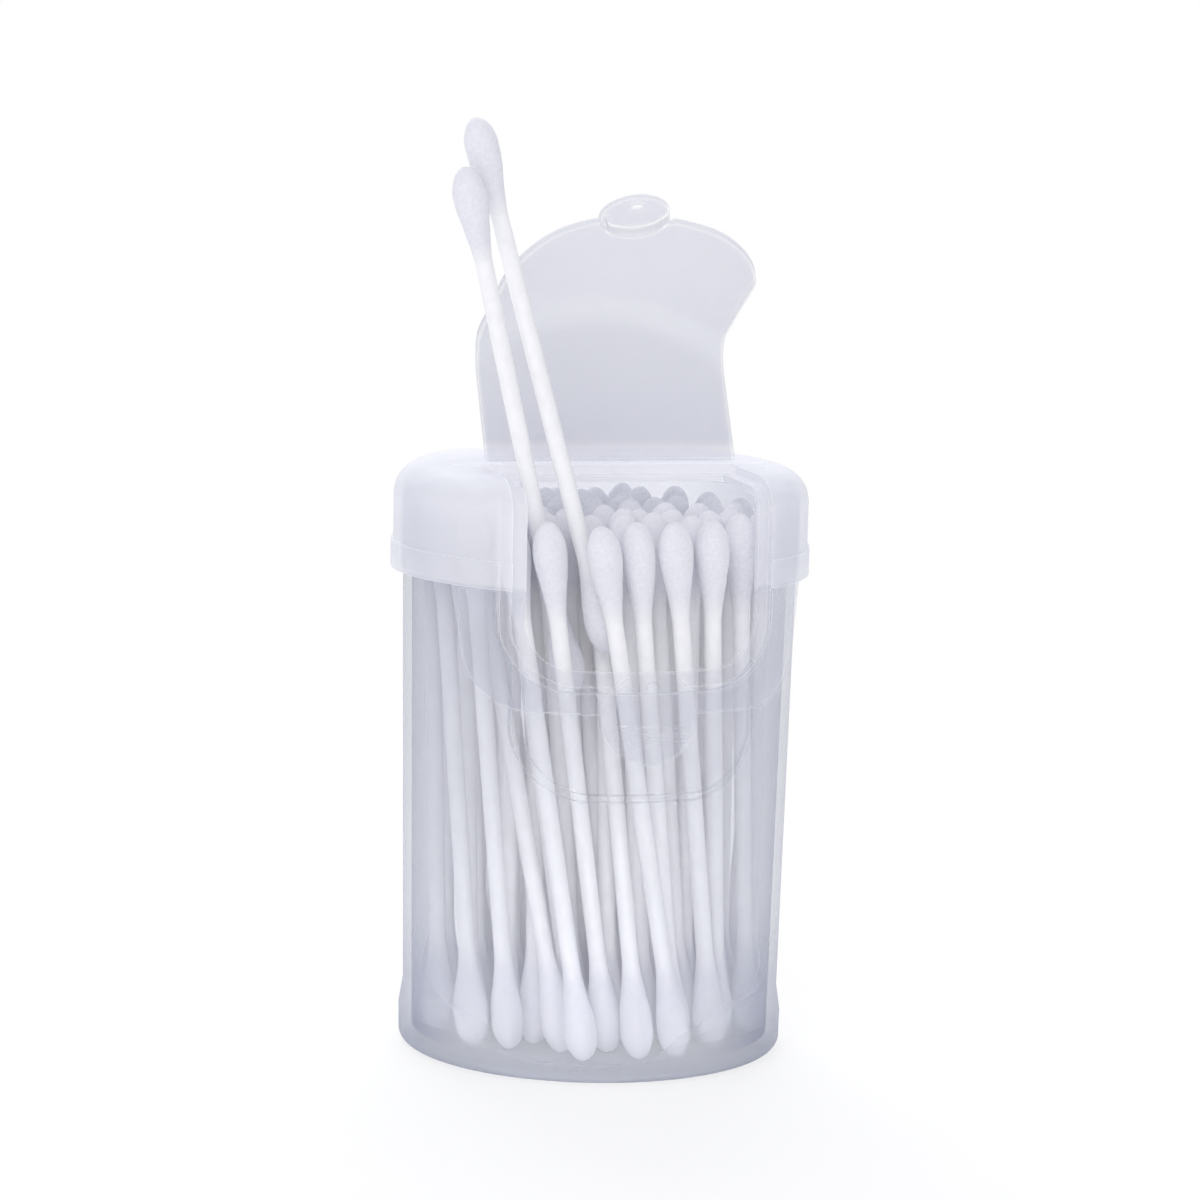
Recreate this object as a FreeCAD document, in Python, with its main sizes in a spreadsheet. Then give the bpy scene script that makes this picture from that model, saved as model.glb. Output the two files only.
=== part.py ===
"""A flip-top box of cotton swabs.

A clear plastic container holds upright swabs.  A fixed lid covers its rim and hangs a bib down the
front; a hinged flap covers the mouth that is cut through the top and the front of the lid.  Two of
the swabs stand half out of the mouth, so the flap stays open.

Frame: millimetres, +Z up, -Y to the front, +X to the right when the front is looked at.  The origin
is on the ground, on the axis of the round front wall.  The plan of the box is a D: a round front
that runs back into two rounded corners and a flat back.
"""
import FreeCAD, Part
import cmath
import math
import os
import random
import re

import Sketcher
from FreeCAD import Placement, Rotation, Vector

doc = FreeCAD.newDocument("cotton_swab_box")

# ---------------------------------------------------------------------------------------------
# Driving dimensions
# ---------------------------------------------------------------------------------------------
SIZES = [
    # plan of the box, measured outside at the ground
    ("front_radius", 25.6, "radius of the round front wall"),
    ("back_distance", 20.0, "flat back, behind the axis of the front"),
    ("corner_radius", 7.5, "rounding of the two back corners"),
    ("draft_angle", 1.0, "outward slope of the container walls, degrees"),
    # container
    ("rim_gap", 0.1, "container rim to the rounding inside the lid"),
    ("wall", 1.2, "container wall"),
    ("floor_thickness", 2.2, "container floor"),
    ("foot_flare", 0.6, "how far the foot stands out from the wall"),
    ("foot_height", 5.0, "straight part of the foot"),
    ("foot_blend", 3.5, "height over which the foot runs back into the wall"),
    ("foot_round", 1.6, "rounding of the bottom edge"),
    ("dent_half_width", 15.4, "finger dent below the mouth"),
    ("dent_drop", 11.0, "lower edge of the bib to the dent's lower edge"),
    ("dent_corner", 8.5, "lower corners of the dent"),
    ("dent_depth", 1.5, "how far the dent is pressed in"),
    # lid
    ("headroom", 4.7, "standing swabs to the top of the lid"),
    ("lid_wall", 1.1, "wall of the lid"),
    ("lid_clearance", 0.15, "lid wall to container wall"),
    ("lid_edge_radius", 4.5, "rounding of the lid's top edge"),
    ("skirt_height", 14.3, "top of the lid to the lower edge of its skirt"),
    ("band_height", 3.7, "thicker band along the skirt's edge"),
    ("band_raise", 0.3, "how far that band stands out"),
    ("bib_height", 30.1, "top of the lid to the lower edge of the bib"),
    ("bib_rim", 4.8, "recess of the flap to the side of the bib, above its lower corners"),
    ("bib_spread", 1.8, "how much further out the bib leaves the skirt"),
    ("bib_corner", 7.0, "lower corners of the bib"),
    ("hinge_distance", 4.0, "hinge line, in front of the axis of the front"),
    ("ridge_height", 0.3, "low ridge along the hinge line"),
    ("ridge_width", 0.8, "depth of that ridge"),
    ("ridge_inset", 1.7, "end of that ridge to the rounding of the top edge"),
    # mouth, and the seat of the flap round it
    ("seat_half_width", 17.6, "recess that the flap closes into"),
    ("seat_rise", 3.6, "lower edge of the bib to the lower edge of that recess"),
    ("seat_corner", 8.0, "lower corners of that recess"),
    ("seat_ledge", 1.9, "ledge round the mouth that the flap rests on"),
    ("rear_ledge", 0.8, "the same ledge at the hinge"),
    ("frame_wall", 1.0, "wall behind the ledge"),
    ("frame_margin", 1.0, "how far that wall runs on behind the lid"),
    ("frame_clearance", 0.3, "container rim to that wall"),
    # flap
    ("seat_gap", 0.1, "closed flap to the ledge"),
    ("flap_gap", 0.3, "edge of the flap to the recess"),
    ("hinge_gap", 0.2, "edge of the flap to the hinge line"),
    ("flap_open_angle", 120.0, "how far the flap stands open, degrees"),
    ("tab_radius", 4.7, "round lift tab at the flap's free edge"),
    ("tab_rim", 0.9, "rim of the tab"),
    ("tab_cap", 0.7, "thickness of the tab"),
    ("tab_offset", 1.6, "centre of the tab above the catch dome, flap closed"),
    # push tongue on the bib
    ("tongue_radius", 6.3, "round push tongue"),
    ("tongue_drop", 0.3, "centre of the tongue below the edge of the bib"),
    ("tongue_raise", 0.3, "how far the tongue stands out"),
    ("tongue_clearance", 0.3, "closed tab to the tongue"),
    ("catch_offset", 4.0, "centre of the catch dome above the centre of the tongue"),
    ("catch_radius", 0.9, "catch dome"),
    ("rib_width", 0.45, "grip ribs on the tongue"),
    ("rib_raise", 0.15, "how far the ribs stand out"),
    ("rib_pitch", 1.05, "spacing of the three rows of ribs"),
    ("rib_drop", 2.3, "middle row of ribs below the centre of the tongue"),
    ("rib_length", 1.9, "length of the ribs to the sides"),
    ("rib_side", 4.0, "middle of those ribs, from the centre line"),
    ("long_rib", 4.6, "length of the ribs between them"),
    # swabs
    ("swab_spacing", 0.15, "room between neighbouring buds when they are put in, before they lean"),
    ("grid_turn", 8.0, "turn of the rows that the swabs are put in by, degrees"),
    ("swab_length", 73.0, "tip to tip"),
    ("stick_radius", 1.15, "paper stick"),
    ("bud_radius", 2.4, "cotton bud at its belly"),
    ("bud_length", 13.5, "tip to the end of the cotton"),
    ("belly_height", 3.8, "tip to the belly"),
    ("neck_cotton", 0.12, "thickness of the cotton at its end"),
    ("stick_recess", 1.5, "tip of the cotton to the end of the stick inside it"),
    ("swab_gap", 0.15, "between neighbouring swabs"),
    ("floor_gap", 0.1, "standing swabs to the floor"),
    ("swab_twist", 23.0, "turn of the upper tips round the axis, against the lower tips, degrees"),
    ("lean_left", 3.0, "mean sideways lean of a swab over its length, apart from that turn"),
    ("lean_spread", 3.0, "spread of that lean"),
    # the two swabs that stand half out of the mouth, and their lean in degrees
    ("tall_swab_depth", 23.4, "lower tip below the top of the lid"),
    ("tall_swab_inset", 8.4, "lower tip behind the round front"),
    ("tall_swab_room", 4.9, "stick to the left edge of the mouth"),
    ("tall_swab_left", 15.9, ""),
    ("tall_swab_forward", 0.8, ""),
    ("second_swab_depth", 29.6, "lower tip below the top of the lid"),
    ("second_swab_inset", 13.0, "lower tip behind the round front"),
    ("second_swab_room", 0.2, "stick to the left edge of the mouth"),
    ("second_swab_left", 14.6, ""),
    ("second_swab_forward", 7.0, ""),
]

sheet = doc.addObject("Spreadsheet::Sheet", "box")
for row, (alias, value, meaning) in enumerate(SIZES, start=1):
    sheet.set(f"A{row}", alias)
    sheet.set(f"B{row}", str(value))
    sheet.set(f"C{row}", meaning)
    sheet.setAlias(f"B{row}", alias)
doc.recompute()


def cells(text):
    """An expression: every name of the sheet in the text is written as a reference to its cell."""
    aliases = {alias for alias, _, _ in SIZES}
    return re.sub(r"\w+", lambda word: f"box.{word[0]}" if word[0] in aliases else word[0], text)


def size(text):
    """The present value of a cell, or of an expression of several."""
    return float(sheet.evalExpression(cells(text)))


# Sizes that several pieces share, as expressions of the sheet's cells.
BOX_HEIGHT = "( floor_thickness + floor_gap + swab_length + headroom )"
RIM_HEIGHT = f"( {BOX_HEIGHT} - lid_edge_radius - rim_gap )"
RIM_OFFSET = f"{RIM_HEIGHT} * tan(draft_angle)"
LID_OFFSET = f"{RIM_OFFSET} + lid_clearance + lid_wall"
LID_RADIUS = f"front_radius + {LID_OFFSET}"
HINGE_HEIGHT = f"{BOX_HEIGHT} + ridge_height"
RIDGE_HALF_LENGTH = f"( {LID_RADIUS} - lid_edge_radius - ridge_inset )"
SKIRT_BOTTOM = f"( {BOX_HEIGHT} - skirt_height )"
BIB_BOTTOM = f"( {BOX_HEIGHT} - bib_height )"
BIB_HALF_WIDTH = "seat_half_width + bib_rim"
SEAT_BOTTOM = f"( {BIB_BOTTOM} + seat_rise )"
MOUTH_HALF_WIDTH = "( seat_half_width - seat_ledge )"
DENT_BOTTOM = f"( {BIB_BOTTOM} - dent_drop )"
TONGUE_HEIGHT = f"( {BIB_BOTTOM} - tongue_drop )"
CATCH_HEIGHT = f"( {TONGUE_HEIGHT} + catch_offset )"
TAB_HEIGHT = f"( {CATCH_HEIGHT} + tab_offset )"
NECK_RADIUS = "stick_radius + neck_cotton"
REACH = "2 * front_radius + back_distance"  # longer than anything it cuts through


# ---------------------------------------------------------------------------------------------
# Sketches and simple solids
# ---------------------------------------------------------------------------------------------
FRONT_VIEW = Rotation(Vector(1, 0, 0), 90)  # a sketch seen from the front: its normal is -Y


def bound(target, name, expression):
    """Binds one property of an object to the sheet."""
    target.setExpression(name, cells(expression))


def dimension(sketch, constraint, expression):
    """Adds a dimensional constraint and binds its value to the sheet."""
    index = sketch.addConstraint(constraint)
    bound(sketch, f"Constraints[{index}]", expression)


def plan_outline(sketch, offset):
    """Draws the D-shaped plan of the box, grown outward by the offset."""
    radius, back, corner = 26.0, 20.0, 7.0
    centre_y = back - corner
    centre_x = math.sqrt((radius - corner) ** 2 - centre_y**2)
    turn = math.atan2(centre_y, centre_x)
    up = Vector(0, 0, 1)
    front = Part.ArcOfCircle(Part.Circle(Vector(), up, radius), math.pi - turn, 2 * math.pi + turn)
    right = Part.ArcOfCircle(Part.Circle(Vector(centre_x, centre_y), up, corner), turn, math.pi / 2)
    rear = Part.LineSegment(Vector(centre_x, back), Vector(-centre_x, back))
    left = Part.ArcOfCircle(
        Part.Circle(Vector(-centre_x, centre_y), up, corner), math.pi / 2, math.pi - turn
    )
    sketch.addGeometry([front, right, rear, left])
    for first, second in ((0, 1), (1, 2), (2, 3), (3, 0)):
        sketch.addConstraint(Sketcher.Constraint("Tangent", first, 2, second, 1))
    sketch.addConstraint(Sketcher.Constraint("Coincident", 0, 3, -1, 1))
    sketch.addConstraint(Sketcher.Constraint("Equal", 1, 3))
    sketch.addConstraint(Sketcher.Constraint("Horizontal", 2))
    dimension(sketch, Sketcher.Constraint("Radius", 0, radius), f"front_radius + {offset}")
    dimension(sketch, Sketcher.Constraint("Radius", 1, corner), f"corner_radius + {offset}")
    dimension(sketch, Sketcher.Constraint("DistanceY", -1, 1, 2, 1, back), f"back_distance + {offset}")


def plan_sketch(name, offset, height):
    """The plan of the box, grown by an offset, at a height."""
    sketch = doc.addObject("Sketcher::SketchObject", name)
    plan_outline(sketch, offset)
    bound(sketch, "Placement.Base.z", height)
    return sketch


def loft(name, levels):
    """A straight-walled solid through several plans, each given as (height, offset)."""
    sections = []
    for number, (height, offset) in enumerate(levels, start=1):
        sections.append(plan_sketch(f"{name}_plan_{number}", offset, height))
    solid = doc.addObject("Part::Loft", name)
    solid.Sections = sections
    solid.Solid = True
    solid.Ruled = True
    return solid


def rounded_block(name, inset):
    """The lid's outer form, made smaller by an inset all round: a padded plan with a rounded top."""
    body = doc.addObject("PartDesign::Body", name)
    ground = next(plane for plane in body.Origin.OriginFeatures if plane.Role == "XY_Plane")
    sketch = body.newObject("Sketcher::SketchObject", f"{name}_plan")
    sketch.AttachmentSupport = [(ground, "")]
    sketch.MapMode = "FlatFace"
    plan_outline(sketch, f"{LID_OFFSET} - {inset}")
    pad = body.newObject("PartDesign::Pad", f"{name}_pad")
    pad.Profile = sketch
    bound(pad, "Length", f"{BOX_HEIGHT} - {inset}")
    doc.recompute()
    rounding = body.newObject("PartDesign::Fillet", f"{name}_rounding")
    rounding.Base = (pad, level_edges(pad.Shape, pad.Shape.BoundBox.ZMax))
    bound(rounding, "Radius", f"lid_edge_radius - {inset}")
    return body


def level_edges(shape, height):
    """The names of the edges that lie at one height."""
    names = []
    for number, edge in enumerate(shape.Edges, start=1):
        box = edge.BoundBox
        if abs(box.ZMin - height) < 0.01 and abs(box.ZMax - height) < 0.01:
            names.append(f"Edge{number}")
    return names


def front_sketch(name, start):
    """An empty sketch seen from the front, on the plane that lies `start` in front of the axis."""
    sketch = doc.addObject("Sketcher::SketchObject", name)
    sketch.Placement = Placement(Vector(), FRONT_VIEW)
    bound(sketch, "Placement.Base.y", f"0 - ( {start} )")
    return sketch


def toward_front(name, sketch):
    """The outline of a front sketch, extended to the front beyond everything it cuts."""
    prism = doc.addObject("Part::Extrusion", name)
    prism.Base = sketch
    prism.DirMode = "Normal"
    prism.Solid = True
    bound(prism, "LengthFwd", REACH)
    return prism


def window(name, half_width, bottom, corner, start="0"):
    """A prism with the form of the mouth: straight sides and two rounded lower corners."""
    sketch = front_sketch(f"{name}_outline", start)
    wide, low, turn, high = 17.0, 50.0, 5.0, 90.0
    front = Vector(0, 0, 1)
    left_turn = Part.Circle(Vector(turn - wide, low + turn), front, turn)
    right_turn = Part.Circle(Vector(wide - turn, low + turn), front, turn)
    sketch.addGeometry(
        [
            Part.LineSegment(Vector(-wide, high), Vector(-wide, low + turn)),
            Part.ArcOfCircle(left_turn, math.pi, 1.5 * math.pi),
            Part.LineSegment(Vector(turn - wide, low), Vector(wide - turn, low)),
            Part.ArcOfCircle(right_turn, 1.5 * math.pi, 2 * math.pi),
            Part.LineSegment(Vector(wide, low + turn), Vector(wide, high)),
            Part.LineSegment(Vector(wide, high), Vector(-wide, high)),
        ]
    )
    for first, second in ((0, 1), (1, 2), (2, 3), (3, 4)):
        sketch.addConstraint(Sketcher.Constraint("Tangent", first, 2, second, 1))
    sketch.addConstraint(Sketcher.Constraint("Coincident", 4, 2, 5, 1))
    sketch.addConstraint(Sketcher.Constraint("Coincident", 5, 2, 0, 1))
    sketch.addConstraint(Sketcher.Constraint("Vertical", 0))
    sketch.addConstraint(Sketcher.Constraint("Vertical", 4))
    sketch.addConstraint(Sketcher.Constraint("Horizontal", 2))
    sketch.addConstraint(Sketcher.Constraint("Equal", 1, 3))
    sketch.addConstraint(Sketcher.Constraint("Symmetric", 5, 1, 5, 2, -2))
    dimension(sketch, Sketcher.Constraint("DistanceX", -1, 1, 5, 1, wide), half_width)
    dimension(sketch, Sketcher.Constraint("DistanceY", -1, 1, 2, 1, low), bottom)
    dimension(sketch, Sketcher.Constraint("Radius", 1, turn), corner)
    dimension(sketch, Sketcher.Constraint("DistanceY", -1, 1, 5, 1, high),
              f"{BOX_HEIGHT} + lid_edge_radius")
    return toward_front(name, sketch)


def front_disc(name, radius, height):
    """A round prism that runs from the axis of the box to the front, at a height."""
    disc = doc.addObject("Part::Cylinder", name)
    disc.Placement = Placement(Vector(), FRONT_VIEW)
    bound(disc, "Radius", radius)
    bound(disc, "Height", REACH)
    bound(disc, "Placement.Base.z", height)
    return disc


def front_wall(name, raised):
    """A full cylinder whose surface lies outside the round front of the lid by a distance."""
    cylinder = doc.addObject("Part::Cylinder", name)
    bound(cylinder, "Radius", f"{LID_RADIUS} + {raised}")
    bound(cylinder, "Height", BOX_HEIGHT)
    return cylinder


def boolean(kind, name, base, tool):
    """One Part::Cut or Part::Common."""
    result = doc.addObject(f"Part::{kind}", name)
    result.Base = base
    result.Tool = tool
    return result


def fuse(name, pieces):
    """One solid out of several."""
    result = doc.addObject("Part::MultiFuse", name)
    result.Shapes = pieces
    result.Refine = True
    return result


# ---------------------------------------------------------------------------------------------
# Container
# ---------------------------------------------------------------------------------------------
def drafted(height, extra="0"):
    """A level of the container: its height, and the offset of its drafted outer wall there."""
    return height, f"( {height} ) * tan(draft_angle) + {extra}"


def dent_cut(name, margin, inset):
    """What has to go from the front wall, behind an inset, to make one side of the finger dent."""
    outline = window(
        f"{name}_window",
        f"dent_half_width + {margin}",
        f"{DENT_BOTTOM} - {margin}",
        f"dent_corner + {margin}",
    )
    kept = loft(f"{name}_kept", [drafted("0", f"0 - ( {inset} )"),
                                 drafted(RIM_HEIGHT, f"0 - ( {inset} )")])
    return boolean("Cut", name, outline, kept)


def make_container():
    """A drafted tub with a flared foot, a finger dent and a notch in its rim for the mouth."""
    outer = loft(
        "container_outer",
        [
            drafted("0", "foot_flare"),
            drafted("foot_height", "foot_flare"),
            drafted("foot_height + foot_blend"),
            drafted(RIM_HEIGHT),
        ],
    )
    doc.recompute()
    footed = doc.addObject("Part::Fillet", "container_footed")
    footed.Base = outer
    bottom_edges = [int(edge[4:]) for edge in level_edges(outer.Shape, 0.0)]
    footed.Edges = [(edge, size("foot_round"), size("foot_round")) for edge in bottom_edges]
    cavity = loft(
        "container_cavity",
        [drafted("floor_thickness", "0 - wall"), drafted(f"{RIM_HEIGHT} + wall", "0 - wall")],
    )
    dented_cavity = boolean(
        "Cut", "container_dented_cavity", cavity, dent_cut("dent_inside", "wall", "dent_depth + wall")
    )
    dented = boolean("Cut", "container_dented", footed, dent_cut("dent_outside", "0", "dent_depth"))
    hollow = boolean("Cut", "container_hollow", dented, dented_cavity)
    notch = window(
        "container_notch",
        "seat_half_width + frame_margin + frame_clearance",
        f"{SEAT_BOTTOM} - frame_margin - frame_clearance",
        "seat_corner + frame_margin + frame_clearance",
    )
    container = boolean("Cut", "container_shape", hollow, notch)
    container.Label = "container"
    return container


# ---------------------------------------------------------------------------------------------
# Lid
# ---------------------------------------------------------------------------------------------
def make_bib_outline():
    """The front view of what is kept of the lid below the skirt: the bib with its rounded corners."""
    sketch = front_sketch("bib_outline", "0")
    top_wide, wide, low, turn, high = 24.0, 22.0, 50.0, 7.0, 70.0
    front = Vector(0, 0, 1)
    left_turn = Part.Circle(Vector(turn - wide, low + turn), front, turn)
    right_turn = Part.Circle(Vector(wide - turn, low + turn), front, turn)
    sketch.addGeometry(
        [
            Part.LineSegment(Vector(-top_wide, high), Vector(-wide, low + turn)),
            Part.ArcOfCircle(left_turn, math.pi, 1.5 * math.pi),
            Part.LineSegment(Vector(turn - wide, low), Vector(wide - turn, low)),
            Part.ArcOfCircle(right_turn, 1.5 * math.pi, 2 * math.pi),
            Part.LineSegment(Vector(wide, low + turn), Vector(top_wide, high)),
            Part.LineSegment(Vector(top_wide, high), Vector(-top_wide, high)),
        ]
    )
    for first, second in ((0, 1), (1, 2), (2, 3), (3, 4)):
        sketch.addConstraint(Sketcher.Constraint("Tangent", first, 2, second, 1))
    sketch.addConstraint(Sketcher.Constraint("Coincident", 4, 2, 5, 1))
    sketch.addConstraint(Sketcher.Constraint("Coincident", 5, 2, 0, 1))
    sketch.addConstraint(Sketcher.Constraint("Horizontal", 2))
    sketch.addConstraint(Sketcher.Constraint("Symmetric", 5, 1, 5, 2, -2))
    sketch.addConstraint(Sketcher.Constraint("Symmetric", 3, 2, 1, 1, -2))
    dimension(sketch, Sketcher.Constraint("DistanceX", -1, 1, 5, 1, top_wide),
              f"{BIB_HALF_WIDTH} + bib_spread")
    dimension(sketch, Sketcher.Constraint("DistanceX", -1, 1, 3, 2, wide), BIB_HALF_WIDTH)
    dimension(sketch, Sketcher.Constraint("DistanceY", -1, 1, 2, 1, low), BIB_BOTTOM)
    dimension(sketch, Sketcher.Constraint("Radius", 1, turn), "bib_corner")
    dimension(sketch, Sketcher.Constraint("DistanceY", -1, 1, 5, 1, high),
              f"{SKIRT_BOTTOM} + band_height")
    return sketch


def make_tongue():
    """The round push tongue on the bib, with its catch dome and grip ribs."""
    disc = front_disc("tongue_disc", "tongue_radius", TONGUE_HEIGHT)
    face = front_wall("tongue_face", "tongue_raise")
    back = front_wall("tongue_back", "0 - lid_wall")
    plate = boolean("Cut", "tongue_plate", boolean("Common", "tongue_round", disc, face), back)

    dome = doc.addObject("Part::Sphere", "catch_dome")
    bound(dome, "Radius", "catch_radius")
    bound(dome, "Placement.Base.y", f"0 - ( {LID_RADIUS} )")
    bound(dome, "Placement.Base.z", CATCH_HEIGHT)

    rib_face = front_wall("rib_face", "tongue_raise + rib_raise")
    ribs = []
    for row in (-1, 0, 1):
        height = f"{TONGUE_HEIGHT} - rib_drop + {row} * rib_pitch"
        for side, length in ((-1, "rib_length"), (0, "long_rib"), (1, "rib_length")):
            ribs.append(grip_rib(len(ribs), f"{side} * rib_side", height, length))
    bars = doc.addObject("Part::MultiFuse", "grip_bars")
    bars.Shapes = ribs
    grip = boolean("Cut", "grip_ribs", boolean("Common", "grip_bars_cut", bars, rib_face), back)
    return fuse("tongue", [plate, grip, dome])


def grip_rib(number, middle, height, length):
    """A bar that runs to the front; only its outer end, on the tongue, is kept."""
    rib = doc.addObject("Part::Box", f"grip_bar_{number + 1}")
    bound(rib, "Length", length)
    bound(rib, "Height", "rib_width")
    bound(rib, "Width", REACH)
    bound(rib, "Placement.Base.x", f"{middle} - ( {length} ) / 2")
    bound(rib, "Placement.Base.y", f"0 - ( {REACH} )")
    bound(rib, "Placement.Base.z", f"{height} - rib_width / 2")
    return rib


def make_lid(outer_form, inner_form):
    """The cap over the container's rim, with its bib, the seat of the flap and the mouth."""
    band = loft(
        "lid_band",
        [
            (SKIRT_BOTTOM, f"{LID_OFFSET} + band_raise"),
            (f"{SKIRT_BOTTOM} + band_height", f"{LID_OFFSET} + band_raise"),
        ],
    )
    ridge = doc.addObject("Part::Box", "hinge_ridge")
    bound(ridge, "Length", f"2 * {RIDGE_HALF_LENGTH}")
    bound(ridge, "Width", "ridge_width")
    bound(ridge, "Height", "lid_wall / 2 + ridge_height")
    bound(ridge, "Placement.Base.x", f"0 - {RIDGE_HALF_LENGTH}")
    bound(ridge, "Placement.Base.y", "0 - hinge_distance")
    bound(ridge, "Placement.Base.z", f"{BOX_HEIGHT} - lid_wall / 2")
    shell = boolean("Cut", "lid_shell", fuse("lid_form", [outer_form, band, ridge]), inner_form)

    above_skirt = loft(
        "above_skirt",
        [
            (SKIRT_BOTTOM, f"{LID_OFFSET} + 2 * lid_wall"),
            (f"{BOX_HEIGHT} + lid_wall", f"{LID_OFFSET} + 2 * lid_wall"),
        ],
    )
    kept = fuse("lid_kept", [above_skirt, toward_front("bib_prism", make_bib_outline())])
    skirted = boolean("Common", "lid_skirted", shell, kept)
    seated = boolean("Cut", "lid_seated", skirted,
                     window("seat_window", "seat_half_width", SEAT_BOTTOM, "seat_corner",
                            "hinge_distance"))

    frame_form = rounded_block("frame_form", "( lid_wall + frame_wall )")
    frame_shell = boolean("Cut", "frame_shell", inner_form, frame_form)
    frame = boolean(
        "Common",
        "mouth_frame",
        frame_shell,
        window(
            "frame_window",
            "seat_half_width + frame_margin",
            f"{SEAT_BOTTOM} - frame_margin",
            "seat_corner + frame_margin",
            start="hinge_distance - frame_margin",
        ),
    )
    mouth = window(
        "mouth_window",
        MOUTH_HALF_WIDTH,
        f"{SEAT_BOTTOM} + seat_ledge",
        "seat_corner - seat_ledge",
        start="hinge_distance + rear_ledge",
    )
    lid = boolean("Cut", "lid_shape", fuse("lid_closed", [seated, frame, make_tongue()]), mouth)
    lid.Label = "lid"
    return lid


# ---------------------------------------------------------------------------------------------
# Flap
# ---------------------------------------------------------------------------------------------
def make_flap(outer_form):
    """The hinged cover of the mouth, with its round lift tab, standing open."""
    flap_inner = rounded_block("flap_inner", "( lid_wall - seat_gap )")
    shell = boolean("Cut", "flap_shell", outer_form, flap_inner)
    outline = window(
        "flap_window",
        "seat_half_width - flap_gap",
        f"{SEAT_BOTTOM} + flap_gap",
        "seat_corner - flap_gap",
        start="hinge_distance + hinge_gap",
    )
    cover = boolean("Common", "flap_cover", shell, outline)

    tab_disc = front_disc("tab_disc", "tab_radius", TAB_HEIGHT)
    tab_hollow = front_disc("tab_hollow", "tab_radius - tab_rim", TAB_HEIGHT)
    cap_outside = front_wall("tab_cap_outside", "tongue_raise + 2 * rib_raise + tab_cap")
    cap_inside = front_wall("tab_cap_inside", "tongue_raise + 2 * rib_raise")
    cover_inside = front_wall("tab_cover_inside", "seat_gap - lid_wall")
    boss = boolean("Cut", "tab_boss", boolean("Common", "tab_boss_form", tab_disc, cap_outside),
                   cover_inside)
    hollow = boolean("Common", "tab_hollow_form", tab_hollow, cap_inside)
    passing_disc = front_disc("tongue_passing_disc", "tongue_radius + tongue_clearance",
                              TONGUE_HEIGHT)
    passing = boolean("Common", "tongue_passing", passing_disc, cap_inside)
    dimple = doc.addObject("Part::Sphere", "tab_dimple")
    bound(dimple, "Radius", "catch_radius + tongue_clearance")
    bound(dimple, "Placement.Base.y", f"0 - ( {LID_RADIUS} ) - rib_raise")
    bound(dimple, "Placement.Base.z", CATCH_HEIGHT)
    below_tab = boolean("Common", "below_tab", front_disc("below_tab_disc", "tab_radius", TAB_HEIGHT),
                        front_wall("below_tab_wall", "tongue_raise + 2 * rib_raise"))
    below_cover = window(
        "below_cover_window",
        "seat_half_width",
        f"{SEAT_BOTTOM} + flap_gap",
        "seat_corner - flap_gap",
    )
    rim_below = boolean("Cut", "rim_below", below_tab, below_cover)

    flap = boolean(
        "Cut",
        "flap_shape",
        fuse("flap_with_tab", [cover, boss]),
        fuse("flap_cuts", [hollow, passing, dimple, rim_below]),
    )
    flap.setExpression(
        "Placement",
        cells(
            "placement(vector(0; 0; 0); rotation(vector(1; 0; 0); -flap_open_angle);"
            f" vector(0; -hinge_distance; {HINGE_HEIGHT}))"
        ),
    )
    flap.Label = "flap"
    return flap


# ---------------------------------------------------------------------------------------------
# Swabs: one stick and one bud are drawn, and every swab is placed copies of them
# ---------------------------------------------------------------------------------------------
def make_stick():
    """The paper stick, along +Z from the lower tip of its swab."""
    stick = doc.addObject("Part::Cylinder", "stick")
    bound(stick, "Radius", "stick_radius")
    bound(stick, "Height", "swab_length - 2 * stick_recess")
    bound(stick, "Placement.Base.z", "stick_recess")
    return stick


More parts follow.
